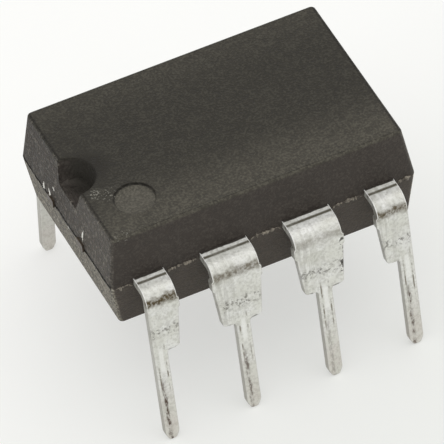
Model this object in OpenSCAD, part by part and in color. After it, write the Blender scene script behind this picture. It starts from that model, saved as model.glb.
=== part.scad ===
// Eight-lead plastic dual in-line chip, standing on its lead tips.
// X runs along the body with the notched end at -X, the row of leads 1 to 4 is at -Y, and Z is up.
// The origin is on the surface that the tips stand on, under the middle of the body.

/* [Moulded body] */
// Length of the body at the parting line
body_length = 9.4; // [9.2:0.05:10.2]
// Width of the body at the parting line
body_width = 6.1; // [5.9:0.05:6.4]
// Height of the body above the parting line
upper_height = 1.67; // [1.4:0.01:1.9]
// Depth of the body below the parting line
lower_height = 1.56; // [1.3:0.01:1.7]
// Lean of the two end faces, in degrees
end_draft = 8; // [4:0.5:10]
// Lean of the two side faces, in degrees
side_draft = 5.5; // [3:0.5:9]
// Radius of the edges round the top and bottom faces
edge_radius = 0.08; // [0.04:0.01:0.15]
// Radius of the four upright corner edges
corner_radius = 0.14; // [0.06:0.01:0.25]

/* [Marks moulded in the body] */
// Radius of the end notch at the top face
notch_radius = 0.78; // [0.6:0.01:1]
// Depth of the end notch
notch_depth = 0.75; // [0.3:0.01:0.9]
// Lean of the notch wall, in degrees
notch_draft = 16; // [5:1:20]
// Diameter of the round dimple beside lead 1
dimple_diameter = 1.2; // [0.8:0.05:1.4]
// Depth of the dimple
dimple_depth = 0.07; // [0.04:0.01:0.12]
// Distance from the end of the body to the middle of the dimple
dimple_from_end = 1.51; // [1.3:0.01:1.8]
// Distance from the side of the body to the middle of the dimple
dimple_from_side = 1.42; // [1.2:0.01:1.6]
// Diameter of the two ejector marks on the underside
ejector_diameter = 1.3; // [0.8:0.05:1.6]
// Depth of the ejector marks
ejector_depth = 0.05; // [0.03:0.01:0.1]
// Distance between the middles of the two ejector marks
ejector_spacing = 5.4; // [4:0.1:6]

/* [Leads outside the body] */
// Distance between neighbouring leads in a row
pitch = 2.54; // [2.45:0.01:2.6]
// Thickness of the metal strip
strip = 0.25; // [0.2:0.01:0.3]
// Distance from the side of the body to the outer faces of the leads, just under the bends
lead_standoff = 0.82; // [0.7:0.01:1]
// Inner radius of the bend
bend_radius = 0.2; // [0.1:0.01:0.25]
// Outward lean of the legs, in degrees
splay = 5.6; // [0:0.1:8]
// Width of a full shoulder where it leaves the body
shoulder_width = 1.44; // [1.2:0.01:1.6]
// Amount by which each side of a shoulder narrows on its way down
shoulder_taper = 0.12; // [0:0.01:0.2]
// Height from the lower end of the shoulders up to the parting line
shoulder_drop = 2.05; // [1.9:0.01:2.4]
// Height of the stubs left on both sides of a shoulder where the dam bar was cut out
dam_height = 0.32; // [0.2:0.01:0.4]
// Amount by which those stubs stand out
dam_stub = 0.05; // [0.02:0.01:0.08]
// Radius of the outer lower corners of a shoulder
shoulder_corner = 0.12; // [0.05:0.01:0.2]
// Radius where a shoulder runs into its leg
leg_fillet = 0.12; // [0.05:0.01:0.2]
// Width of a leg
leg_width = 0.43; // [0.36:0.01:0.56]
// Length of a leg below its shoulder
leg_length = 3.2; // [2.9:0.05:3.8]
// Length of the narrowed tip of a leg
tip_length = 0.22; // [0.1:0.01:0.4]
// Width of the flat end of a tip
tip_width = 0.2; // [0.12:0.01:0.3]
// Radius of the corners of a tip
tip_radius = 0.08; // [0.02:0.01:0.09]

/* [Lead frame inside the body] */
// Depth to which the full width of a lead reaches into the body
anchor_depth = 0.75; // [0.6:0.05:0.9]
// Diameter of the locking hole that the body fills
lock_hole = 0.4; // [0.2:0.05:0.5]
// Distance from the side of the body to the middle of the locking hole
lock_depth = 0.4; // [0.35:0.01:0.5]
// Width of a finger tip
finger_width = 0.5; // [0.4:0.01:0.56]
// Length of the straight end of an inner finger
finger_neck = 0.2; // [0.18:0.01:0.5]
// Size of the sloping corner where an end finger turns inwards
finger_elbow = 0.3; // [0.1:0.01:0.4]
// Space between a finger tip and the paddle
finger_gap = 0.25; // [0.2:0.01:0.4]
// Distance from the middle of the body to the middle of an inner finger tip
inner_finger_x = 0.98; // [0.9:0.01:1.1]
// Space between an end finger tip and the line of the paddle's end
end_finger_gap = 0.25; // [0.2:0.01:0.35]
// Length of the paddle
paddle_length = 3.2; // [2.8:0.05:3.4]
// Width of the paddle
paddle_width = 2.5; // [2.2:0.05:2.6]
// Amount by which the paddle lies below the leads
paddle_drop = 0.2; // [0.1:0.01:0.3]
// Width of a tie bar
tie_width = 0.4; // [0.3:0.01:0.5]
// Distance from the side of the paddle to the edge of a tie bar
tie_inset = 0.05; // [0.02:0.01:0.15]
// Length of the sloping part of a tie bar
tie_slope = 0.35; // [0.25:0.01:0.5]
// Amount by which the cut end of a tie bar stands out of the body
tie_stub = 0.04; // [0.02:0.01:0.08]

/* [Chip and wires] */
// Length of the silicon chip
die_length = 1.8; // [1.4:0.05:2.1]
// Width of the silicon chip
die_width = 1.5; // [1.2:0.05:1.8]
// Thickness of the silicon chip
die_height = 0.28; // [0.2:0.01:0.35]
// Thickness of the adhesive under the chip
attach_height = 0.03; // [0.02:0.005:0.05]
// Amount by which the adhesive shows round the chip
attach_margin = 0.06; // [0.03:0.01:0.12]
// Diameter of the gold wires
wire_diameter = 0.03; // [0.025:0.005:0.05]
// Diameter of the ball at the chip end of a wire
ball_diameter = 0.08; // [0.06:0.01:0.1]
// Thickness of the ball, and of the stitch at the other end
bond_height = 0.015; // [0.01:0.005:0.02]
// Height from the chip to the top of a wire's loop
loop_height = 0.3; // [0.2:0.01:0.4]
// Radius of the bend at the top of a loop
loop_radius = 0.1; // [0.08:0.01:0.15]
// Distance from the edges of the chip to the bond pads
pad_inset = 0.12; // [0.08:0.01:0.2]
// Distance from the middle of the chip to an inner pad, along the body
inner_pad_x = 0.35; // [0.2:0.01:0.5]
// Distance by which an end pad lies nearer the middle than an inner pad, across the body
end_pad_step = 0.18; // [0.1:0.01:0.3]
// Distance from the end of a finger to its stitch
stitch_inset = 0.16; // [0.1:0.01:0.2]

/* [Hidden] */
$fn = 48;

epoxy_black = [0.27, 0.26, 0.24];
tin_grey = [0.78, 0.78, 0.75];
copper_alloy = [0.80, 0.52, 0.36];
silver_grey = [0.70, 0.70, 0.72];
silicon_blue = [0.30, 0.34, 0.42];
gold_yellow = [0.93, 0.74, 0.28];

leads_per_row = 4;
arc_steps = 6;
edge_steps = 3;
corner_step = 22.5;
// How far a cutter reaches past the face that it cuts
past = 0.5;

// Heights above the surface that the tips stand on
parting_z = shoulder_drop + leg_length;
strip_top_z = parting_z + strip / 2;
paddle_top_z = strip_top_z - paddle_drop;
die_z = paddle_top_z + attach_height;
die_top_z = die_z + die_height;
top_z = parting_z + upper_height;
underside_z = parting_z - lower_height;

// Half sizes of the body at the parting line, and how far the leaning faces come in
half_length = body_length / 2;
half_width = body_width / 2;
upper_end_inset = upper_height * tan(end_draft);
upper_side_inset = upper_height * tan(side_draft);
lower_end_inset = lower_height * tan(end_draft);
lower_side_inset = lower_height * tan(side_draft);

// The bend: its outer radius, the place of its axis, and the length of strip below it
bend_outer = bend_radius + strip;
bend_y = half_width + lead_standoff - bend_outer * cos(splay);
bend_z = parting_z + strip / 2 - bend_outer;
bend_end_z = bend_z + bend_radius * sin(splay);
shoulder_run = (bend_end_z - parting_z + shoulder_drop) / cos(splay);
tip_run = bend_end_z / cos(splay);

// Places of the two kinds of lead, seen in plan on the row of leads 5 to 8 at the notched half
inner_lead_x = -pitch / 2;
end_lead_x = -pitch * 3 / 2;
finger_end_y = paddle_width / 2 + finger_gap;
end_finger_x = -(paddle_length / 2 + end_finger_gap);
anchor_y = half_width - anchor_depth;

// Position of lead n: its column from the notched end, and whether it is in the near row
function column(n) = n <= leads_per_row ? n - 1 : 2 * leads_per_row - n;
function is_near(n) = n <= leads_per_row;
function is_end(n) = column(n) == 0 || column(n) == leads_per_row - 1;

function unit(v) = v / norm(v);
function turned(v, a) = [v.x * cos(a) - v.y * sin(a), v.x * sin(a) + v.y * cos(a)];

// One corner b of an outline, between a and c, as an arc of radius r that touches both sides
function corner_arc(a, b, c, r, steps) =
    r == 0 ? [b] :
    let (to_a = unit(a - b), to_c = unit(c - b),
         half_angle = acos(to_a * to_c) / 2,
         centre = b + unit(to_a + to_c) * r / sin(half_angle),
         start = b + to_a * r / tan(half_angle) - centre,
         hand = to_a.x * to_c.y - to_a.y * to_c.x > 0 ? -1 : 1,
         sweep = hand * (180 - 2 * half_angle))
    [for (k = [0:steps]) centre + turned(start, sweep * k / steps)];

// A closed outline from corners given as [x, y, radius]
function rounded(corners, steps = arc_steps) =
    let (count = len(corners), at = [for (p = corners) [p.x, p.y]])
    [for (i = [0:count - 1])
        each corner_arc(at[(i + count - 1) % count], at[i], at[(i + 1) % count], corners[i][2], steps)];

// Turns a drawing whose y is height into an upright plate, centred on the plane y = 0
module upright(thickness) {
    rotate([90, 0, 0]) linear_extrude(thickness, center = true) children();
}

// Half size of the body along the direction that lies a degrees from X, with its corners rounded
function reach(a, end_inset, side_inset) =
    (half_length - end_inset - corner_radius) * abs(cos(a))
    + (half_width - side_inset - corner_radius) * abs(sin(a)) + corner_radius;

// Upright section of the body across direction a: a six-sided outline, widest at the parting line
module body_section(a) {
    top_reach = reach(a, upper_end_inset, upper_side_inset);
    middle_reach = reach(a, 0, 0);
    bottom_reach = reach(a, lower_end_inset, lower_side_inset);
    polygon(rounded([
        [top_reach, top_z, edge_radius], [-top_reach, top_z, edge_radius], [-middle_reach, parting_z, 0],
        [-bottom_reach, underside_z, edge_radius], [bottom_reach, underside_z, edge_radius],
        [middle_reach, parting_z, 0]], edge_steps));
}

// The body before anything is cut from it: what all its upright sections have in common
module body_blank() {
    intersection_for (a = [0:corner_step:180 - corner_step])
        rotate([0, 0, a]) upright(2 * body_length) body_section(a);
}

// Half-round notch in the top face, a cone whose axis is on the end edge of that face
module notch() {
    wall_lean = tan(notch_draft);
    translate([-(half_length - upper_end_inset), 0, top_z - notch_depth])
        cylinder(h = notch_depth + past, r1 = notch_radius - notch_depth * wall_lean,
                 r2 = notch_radius + past * wall_lean);
}

module dimple() {
    translate([dimple_from_end - half_length, dimple_from_side - half_width, top_z - dimple_depth])
        cylinder(h = dimple_depth + past, d = dimple_diameter);
}

module ejector_mark(side) {
    translate([side * ejector_spacing / 2, 0, underside_z - past])
        cylinder(h = ejector_depth + past, d = ejector_diameter);
}

module moulded_body() {
    color(epoxy_black) difference() {
        body_blank();
        notch();
        dimple();
        for (side = [-1, 1]) ejector_mark(side);
        for (n = [1:2 * leads_per_row]) {
            lead(n);
            bond_wire(n);
        }
        die_paddle();
        die_attach();
        die();
    }
}

// Turns what is drawn for leads 7 and 8 into its place at lead n
module at_lead(n) {
    mirror([column(n) >= leads_per_row / 2 ? 1 : 0, 0, 0])
        mirror([0, is_near(n) ? 1 : 0, 0])
            children();
}

// Flat part of an inner lead in plan, from the bend to the finger tip beside the paddle
module inner_finger_plan() {
    left = inner_lead_x - shoulder_width / 2;
    right = inner_lead_x + shoulder_width / 2;
    tip_left = -inner_finger_x - finger_width / 2;
    tip_right = -inner_finger_x + finger_width / 2;
    neck_y = finger_end_y + finger_neck;
    polygon([
        [left, bend_y], [left, anchor_y], [tip_left, neck_y], [tip_left, finger_end_y],
        [tip_right, finger_end_y], [tip_right, neck_y], [right, anchor_y], [right, bend_y]]);
}

// Flat part of an end lead in plan: it turns inwards beside the tie bar, towards the paddle's corner
module end_finger_plan() {
    outer = end_lead_x - leg_width / 2;
    inner = end_lead_x + shoulder_width / 2;
    arm_y = finger_end_y + finger_width;
    polygon([
        [outer, bend_y], [outer, arm_y], [outer + finger_width, finger_end_y],
        [end_finger_x, finger_end_y], [end_finger_x, arm_y], [inner + finger_elbow, arm_y],
        [inner, arm_y + finger_elbow], [inner, bend_y]]);
}

// Side x of a shoulder just under the bend, going down, with the stub of the dam bar towards side out
function dam_side(x, out) = [
    [x, 0, 0], [x + out * dam_stub, -dam_stub, 0],
    [x + out * dam_stub, -dam_stub - dam_height, 0], [x, -2 * dam_stub - dam_height, 0]];

function upwards(list) = [for (i = [len(list) - 1:-1:0]) list[i]];

// The strip below the bend, drawn flat with y = 0 at the bend and the tip downwards.
// The shoulder runs from left to right of the leg's middle line, and each side narrows by its own taper.
module leg_outline(left, right, left_taper, right_taper) {
    foot = -tip_run;
    heel = -shoulder_run;
    edge = leg_width / 2;
    left_heel = left_taper == 0 ? [] :
        [[left + left_taper, heel, shoulder_corner], [-edge, heel, leg_fillet]];
    right_heel = [[edge, heel, leg_fillet], [right - right_taper, heel, shoulder_corner]];
    tip = [
        [-edge, foot + tip_length, tip_radius], [-tip_width / 2, foot, tip_radius],
        [tip_width / 2, foot, tip_radius], [edge, foot + tip_length, tip_radius]];
    polygon(rounded(concat(dam_side(left, -1), left_heel, tip, right_heel, upwards(dam_side(right, 1)))));
}

// The bend, a sector of a ring about an axis along X
module bend(left, right) {
    translate([0, bend_y, bend_z]) rotate([0, -90, 0])
        rotate_extrude(angle = 90 - splay)
            translate([bend_radius, -right]) square([strip, right - left]);
}

// Everything of one lead that is outside the bend's start, with its leg's middle line on x = 0
module bent_strip(left, right, left_taper, right_taper) {
    bend(left, right);
    translate([0, bend_y, bend_z]) rotate([splay, 0, 0])
        translate([0, bend_radius + strip / 2, 0])
            upright(strip) leg_outline(left, right, left_taper, right_taper);
}

// Flat part of a lead with its locking hole
module finger(lead_x) {
    translate([0, 0, parting_z - strip / 2]) difference() {
        linear_extrude(strip) children();
        translate([lead_x, half_width - lock_depth, -past]) cylinder(h = strip + 2 * past, d = lock_hole);
    }
}

module lead(n) {
    half_shoulder = shoulder_width / 2;
    color(tin_grey) at_lead(n)
        if (is_end(n)) {
            finger(end_lead_x + (half_shoulder - leg_width / 2) / 2) end_finger_plan();
            translate([end_lead_x, 0, 0]) bent_strip(-leg_width / 2, half_shoulder, 0, shoulder_taper);
        } else {
            finger(inner_lead_x) inner_finger_plan();
            translate([inner_lead_x, 0, 0])
                bent_strip(-half_shoulder, half_shoulder, shoulder_taper, shoulder_taper);
        }
}

// Side view of a tie bar: level at its cut end, then sloping down to the paddle
module tie_side() {
    outer_x = -(half_length + tie_stub);
    inner_x = -paddle_length / 2;
    slope_x = inner_x - finger_gap;
    polygon([
        [outer_x, strip / 2], [slope_x - tie_slope, strip / 2], [slope_x, strip / 2 - paddle_drop],
        [inner_x, strip / 2 - paddle_drop], [inner_x, -strip / 2 - paddle_drop],
        [slope_x, -strip / 2 - paddle_drop], [slope_x - tie_slope, -strip / 2], [outer_x, -strip / 2]]);
}

module die_paddle() {
    tie_y = paddle_width / 2 - tie_inset - tie_width / 2;
    color(copper_alloy) union() {
        translate([0, 0, paddle_top_z - strip / 2]) cube([paddle_length, paddle_width, strip], center = true);
        for (end = [0, 1], side = [-1, 1])
            mirror([end, 0, 0]) translate([0, side * tie_y, parting_z]) upright(tie_width) tie_side();
    }
}

module die_attach() {
    color(silver_grey) translate([0, 0, paddle_top_z + attach_height / 2])
        cube([die_length + 2 * attach_margin, die_width + 2 * attach_margin, attach_height], center = true);
}

module die() {
    color(silicon_blue) translate([0, 0, die_z + die_height / 2])
        cube([die_length, die_width, die_height], center = true);
}

// A wire in its own upright plane, from the pad at the origin to the finger at distance run, drop below.
// It rises straight, bends over, and goes down along the line that touches the bend and meets the finger.
module wire_loop(run, drop) {
    rise = loop_height - loop_radius;
    across = run - loop_radius;
    fall = rise + drop;
    descent = atan2(fall, across) + asin(loop_radius / norm([across, fall]));
    slope_length = sqrt(across * across + fall * fall - loop_radius * loop_radius);
    cylinder(h = rise, d = wire_diameter);
    cylinder(h = bond_height, d = ball_diameter);
    difference() {
        translate([loop_radius, 0, rise]) rotate([90, 0, 0]) rotate([0, 0, 90 - descent]) {
            rotate_extrude(angle = 90 + descent) translate([loop_radius, 0]) circle(d = wire_diameter);
            translate([loop_radius, 0, 0]) rotate([90, 0, 0]) cylinder(h = slope_length, d = wire_diameter);
        }
        translate([run, 0, -drop - past / 2]) cube(past, center = true);
    }
    translate([run, 0, -drop]) cylinder(h = bond_height, d = ball_diameter);
}

module bond_wire(n) {
    pad = is_end(n) ? [-(die_length / 2 - pad_inset), die_width / 2 - pad_inset - end_pad_step]
                    : [-inner_pad_x, die_width / 2 - pad_inset];
    stitch = is_end(n) ? [end_finger_x - stitch_inset, finger_end_y + finger_width / 2]
                       : [-inner_finger_x, finger_end_y + stitch_inset];
    way = stitch - pad;
    color(gold_yellow) at_lead(n) translate([pad.x, pad.y, die_top_z]) rotate([0, 0, atan2(way.y, way.x)])
        wire_loop(norm(way), die_top_z - strip_top_z);
}

moulded_body();
lead(1);  // lead_1
lead(2);  // lead_2
lead(3);  // lead_3
lead(4);  // lead_4
lead(5);  // lead_5
lead(6);  // lead_6
lead(7);  // lead_7
lead(8);  // lead_8
die_paddle();
die_attach();
die();
bond_wire(1);  // bond_wire_1
bond_wire(2);  // bond_wire_2
bond_wire(3);  // bond_wire_3
bond_wire(4);  // bond_wire_4
bond_wire(5);  // bond_wire_5
bond_wire(6);  // bond_wire_6
bond_wire(7);  // bond_wire_7
bond_wire(8);  // bond_wire_8
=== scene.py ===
import math

import bpy
import numpy as np
from mathutils import Matrix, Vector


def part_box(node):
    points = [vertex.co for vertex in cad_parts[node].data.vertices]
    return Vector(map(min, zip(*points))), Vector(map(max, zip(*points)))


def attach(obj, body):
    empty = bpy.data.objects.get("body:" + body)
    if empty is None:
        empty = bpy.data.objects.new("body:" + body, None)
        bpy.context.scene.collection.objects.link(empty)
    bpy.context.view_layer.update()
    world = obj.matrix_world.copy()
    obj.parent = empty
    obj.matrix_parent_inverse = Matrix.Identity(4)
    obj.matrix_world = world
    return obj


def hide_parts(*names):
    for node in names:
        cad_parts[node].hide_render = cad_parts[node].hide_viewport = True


# An eight-lead plastic dual in-line chip. Shapes are worked out in millimetres, in the frame's own
# axes: X along the body with the notched end at -X, leads 1 to 4 at -Y, Z up from the lead tips.
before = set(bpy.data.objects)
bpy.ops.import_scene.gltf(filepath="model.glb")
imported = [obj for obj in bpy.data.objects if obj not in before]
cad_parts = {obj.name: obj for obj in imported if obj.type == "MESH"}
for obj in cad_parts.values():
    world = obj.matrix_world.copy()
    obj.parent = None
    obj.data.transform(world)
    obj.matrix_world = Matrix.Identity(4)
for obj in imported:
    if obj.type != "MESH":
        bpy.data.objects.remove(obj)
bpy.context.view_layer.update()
MM = 0.001

# Moulded body. The grid round each hollow is bent as far as its reach, the notch's a share of its size.
body_low, body_high = (np.array(corner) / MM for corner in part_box("moulded_body"))
HALF_LENGTH, HALF_WIDTH, TOP = body_high
UNDERSIDE = body_low[2]
END_DRAFT = math.radians(8)
SIDE_DRAFT = math.radians(5.5)
EDGE_RADIUS = 0.08
CORNER_RADIUS = 0.14
NOTCH_RADIUS = 0.78
NOTCH_DEPTH = 0.75
NOTCH_DRAFT = math.radians(16)
NOTCH_FOOT = 0.42
NOTCH_MIDDLE = (0.85 - HALF_LENGTH, 0.1, TOP - 0.3)
DIMPLE_AT = (1.51 - HALF_LENGTH, 1.42 - HALF_WIDTH)
DIMPLE_RADIUS = 0.6
DIMPLE_DEPTH = 0.07
EJECTOR_RADIUS = 0.65
EJECTOR_DEPTH = 0.05
EJECTOR_X = 2.7
DIMPLE_REACH = 0.76
EJECTOR_REACH = 0.85
NOTCH_REACH = 1.11

# Rings round the hollows and how deep each lies. The notch's are shares of its size.
NOTCH_RINGS = np.array([0.32, 0.34, 0.36, 0.38, 0.4, 0.42, 0.48, 0.58, 0.7, 0.82, 0.94, 0.98, 1,
                        1.015, 1.035])
NOTCH_DEPTHS = NOTCH_DEPTH * np.array([1, 0.997, 0.988, 0.97, 0.944, 0.9, 0.8, 0.62, 0.42, 0.23, 0.08,
                                       0.04, 0.016, 0.004, 0])
DIMPLE_RINGS = DIMPLE_RADIUS + np.array([-0.03, -0.016, -0.008, -0.002, 0.004, 0.012, 0.026, 0.04])
DIMPLE_DEPTHS = DIMPLE_DEPTH * np.array([1, 0.985, 0.93, 0.55, 0.16, 0.04, 0.008, 0])
EJECTOR_RINGS = EJECTOR_RADIUS + np.array([-0.03, -0.01, 0.006, 0.02])
EJECTOR_DEPTHS = EJECTOR_DEPTH * np.array([1, 0.9, 0.12, 0])

# The body's mesh: its steps, and the ragged gap along the parting line on the two ends
CAP_STEP = 0.12
WALL_STEP = 0.3
CORNER_HOLD = 0.012
GAP_DEPTH = 0.12
GAP_HEIGHT = 0.022
GAP_SHIFT = 0.05

# Pale scuffs on the top face: centre, half size, and how dense
SCUFFS = (((-3.75, -1.15), (0.5, 0.35), 0.6),
          ((-4.1, -1.0), (0.3, 0.3), 0.75),
          ((-4.1, -2.8), (0.4, 0.3), 0.65))

# Slivers at the notched end: from and to (y, height above the parting line), and how thick
BURRS = (((1.53, 0.26), (1.43, 0.04), 0.045),
         ((1.2, 0.28), (1.0, 0.1), 0.05),
         ((0.94, 0.56), (0.82, 0.46), 0.03),
         ((-1.10, 0.62), (-1.12, 0.2), 0.05),
         ((-0.14, -0.04), (-0.15, -0.15), 0.02))

# Leads. The finger's tip, neck, arm and anchor are given by how far they lie inside the body's long side,
# and the fingers' sides by their x at lead 1 and lead 2.
STRIP = 0.25
PITCH = 2.54
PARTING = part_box("die_paddle")[1][2] / MM - STRIP / 2
UPPER, LOWER = TOP - PARTING, PARTING - UNDERSIDE
BEND_RADIUS = 0.2
SPLAY = math.radians(5.6)
LEAD_STANDOFF = 0.82
SHOULDER = 0.72
SHOULDER_TAPER = 0.12
SHOULDER_DROP = 2.05
DAM_STUB = 0.05
DAM_WIDTH = 0.32
LEG_HALF = 0.215
TIP_HALF = 0.03
TIP_LENGTH = 0.22
FINGER_STEPS = (1.55, 1.35, 1.05, 0.75)
END_FINGER = (-1.85, -2.79, -3.525)
INNER_FINGER = (-0.73, -1.23)
HOLE_RADIUS = 0.2
HOLE_Y = HALF_WIDTH - 0.4
EDGE_ROUND = 0.03
PRESSED_AT = 0.23
PRESSED_DEPTH = 0.014
PRESSED_HALF = 0.022
WAVE = 0.004
LEAST_STEP = 0.0015
BEND_OUTER = BEND_RADIUS + STRIP
BEND_Y = HALF_WIDTH + LEAD_STANDOFF - BEND_OUTER * math.cos(SPLAY)
BEND_Z = PARTING + STRIP / 2 - BEND_OUTER
BEND_MIDDLE = BEND_RADIUS + STRIP / 2
BEND_ANGLE = math.pi / 2 - SPLAY
TURN_S = BEND_Y + BEND_MIDDLE * BEND_ANGLE
BEND_END_Z = BEND_Z + BEND_RADIUS * math.sin(SPLAY)
SHOULDER_RUN = (BEND_END_Z - PARTING + SHOULDER_DROP) / math.cos(SPLAY)
TIP_RUN = BEND_END_Z / math.cos(SPLAY)

# How marked each lead's plating is, which also sets how strong the painted reflection under its bend is,
# and the places along the strip, from the end of the bend, of the marks, the painted reflection and the
# painted highlight: where each starts, is full, fades and is gone
WEAR_AND_REFLECTION = (1.15, 0.85, 0.45, 1.0, 0.7, 0.9, 0.6, 0.8)
BEND_END_REFLECTION_BAND = (-0.14, -0.01, 0.02, 0.26)
PIT_BAND = (0.8, 0.98, 1.1, 1.3)
CHEWED_BAND = (0.1, 0.2, 1.3, 1.5)
SCRAPE_BAND = (1.4, 1.6, 2.8, 3.4)
LEG_HIGHLIGHT_BAND = (1.55, 1.75, 2.3, 2.7)
PRESSED_LINE = HALF_WIDTH + PRESSED_AT - TURN_S
PRESSED_BAND = tuple(PRESSED_LINE + step for step in (-0.074, -0.024, 0.016, 0.081))
CHEWED_RIM = 0.5 * PITCH + SHOULDER

# Flash between the leads: how thick, and how far it drops beside a lead on its left and on its right
FLASH = 0.08
FLASH_DROPS = (0.13, 0.1)

# The camera solved from the photograph: angles, distance, and aim from the body's middle
PHOTO_SIDE = 444
FOCAL_PIXELS = 8788.15
AZIMUTH = math.radians(-21.150)
ELEVATION = math.radians(45.266)
ROLL = math.radians(-5.644)
DISTANCE = 246.603
AIM_RIGHT, AIM_UP = 0.1166, -1.6290
SENSOR = 36.0
FLOOR_HALF = 600.0
SURROUND_LIGHT = 0.68


def smooth(value, low, high):
    """Runs from 0 at low to 1 at high along the curve 3t^2 - 2t^3."""
    t = np.clip((value - low) / (high - low), 0, 1)
    return t * t * (3 - 2 * t)


def wander(along, seed, period, count=5):
    """A smooth random line about 0, within about -1 to 1: a sum of sines of shorter and shorter period."""
    rng = np.random.default_rng(seed)
    waves = np.arange(1, count + 1)
    phase = rng.uniform(0, 2 * math.pi, count)
    rate = 2 * math.pi * waves * rng.uniform(0.8, 1.2, count) / period
    weight = rng.uniform(0.5, 1, count) / np.sqrt(waves)
    return (np.sin(np.asarray(along)[..., None] * rate + phase) * weight).sum(-1) / weight.sum() * 1.6


def ladder(stops, gap):
    """Grid lines through every stop, with even steps of at most gap between neighbouring stops."""
    stops = np.unique(np.round(stops, 5))
    spans = [np.linspace(a, b, max(1, math.ceil((b - a) / gap)), endpoint=False)
             for a, b in zip(stops, stops[1:])]
    return np.append(np.concatenate(spans), stops[-1])


def disc_warp(x, y, centre, radius, reach):
    """Turns the squares of a grid round centre into circles: a point on the square of half side s goes to
    the circle of radius s, fully up to radius and not at all past reach. Also gives s."""
    dx, dy = x - centre[0], y - centre[1]
    square = np.maximum(abs(dx), abs(dy))
    round_ = np.hypot(dx, dy)
    pull = np.where(round_ > 0, square / np.maximum(round_, 1e-9), 1)
    share = 1 - smooth(square, radius, reach)
    factor = 1 + share * (pull - 1)
    return centre[0] + dx * factor, centre[1] + dy * factor, square


def grid_quads(index):
    """The four-sided faces of a grid of point numbers, row by row."""
    a, b, c, d = index[:-1, :-1], index[:-1, 1:], index[1:, 1:], index[1:, :-1]
    return np.stack([a, b, c, d], -1).reshape(-1, 4)


def closed_rows(index):
    """Repeats the first column of point numbers at the end, so that each row is a closed ring."""
    return np.concatenate([index, index[:, :1]], 1)


def both_signs(values):
    """The values with a minus sign, and then the values."""
    return np.concatenate([-np.asarray(values), np.asarray(values)])


def strung(*grids):
    """All the values of some grids, in one row."""
    return np.concatenate([grid.ravel() for grid in grids])


def rim_walk(rows, columns):
    """Row and column numbers once round a grid's rim, along the first column first."""
    down, across = np.arange(rows - 1), np.arange(columns - 1)
    return (strung(down, 0 * across + rows - 1, rows - 1 - down, 0 * across),
            strung(0 * down, across, 0 * down + columns - 1, columns - 1 - across))


def volume(points, quads):
    """Signed volume inside a closed mesh of quads: the sum over its triangles of a.(b x c) / 6."""
    tris = np.concatenate([quads[:, [0, 1, 2]], quads[:, [0, 2, 3]]])
    a, b, c = (points[tris[:, k]] for k in range(3))
    return (a * np.cross(b, c)).sum() / 6


def new_object(name, data):
    """An object of some data, at the origin of the scene."""
    made = bpy.data.objects.new(name, data)
    bpy.context.scene.collection.objects.link(made)
    return made


def add_mesh(name, points, quads, weld=True, **layers):
    """A mesh object at the origin from points in millimetres and quads. Points in the same place become
    one, faces that shrank to a line are dropped, and all faces are turned to point outwards. Each layer is
    one number or one triple per point, kept on the mesh under its own name."""
    if weld:
        _, first, same = np.unique(np.round(points * 20000).astype(np.int64), axis=0,
                                   return_index=True, return_inverse=True)
        quads = same.reshape(-1)[quads]
        points = points[first]
        layers = {key: np.asarray(value)[first] for key, value in layers.items()}
    if volume(points, quads) < 0:
        quads = quads[:, ::-1]
    sides = quads != np.roll(quads, -1, axis=1)
    faces = [quad[side].tolist() for quad, side in zip(quads, sides) if side.sum() >= 3]
    mesh = bpy.data.meshes.new(name)
    mesh.from_pydata((points * MM).tolist(), [], faces)
    mesh.polygons.foreach_set("use_smooth", [True] * len(faces))
    for key, value in layers.items():
        value = np.asarray(value, np.float32)
        if value.ndim == 1:
            mesh.attributes.new(key, "FLOAT", "POINT").data.foreach_set("value", value)
        else:
            mesh.attributes.new(key, "FLOAT_VECTOR", "POINT").data.foreach_set("vector", value.ravel())
    mesh.validate()
    return new_object(name, mesh)


def cover(mesh, finish):
    """Gives a mesh one material."""
    mesh.materials.clear()
    mesh.materials.append(finish)


def dress(piece, finish, slot, *nodes):
    """Gives a piece its material and body, and hides the nodes of the frame that it stands for. Its slot is
    not used.
    """
    cover(piece.data, finish)
    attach(piece, "root")
    if nodes:
        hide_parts(*nodes)
    return piece


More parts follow.
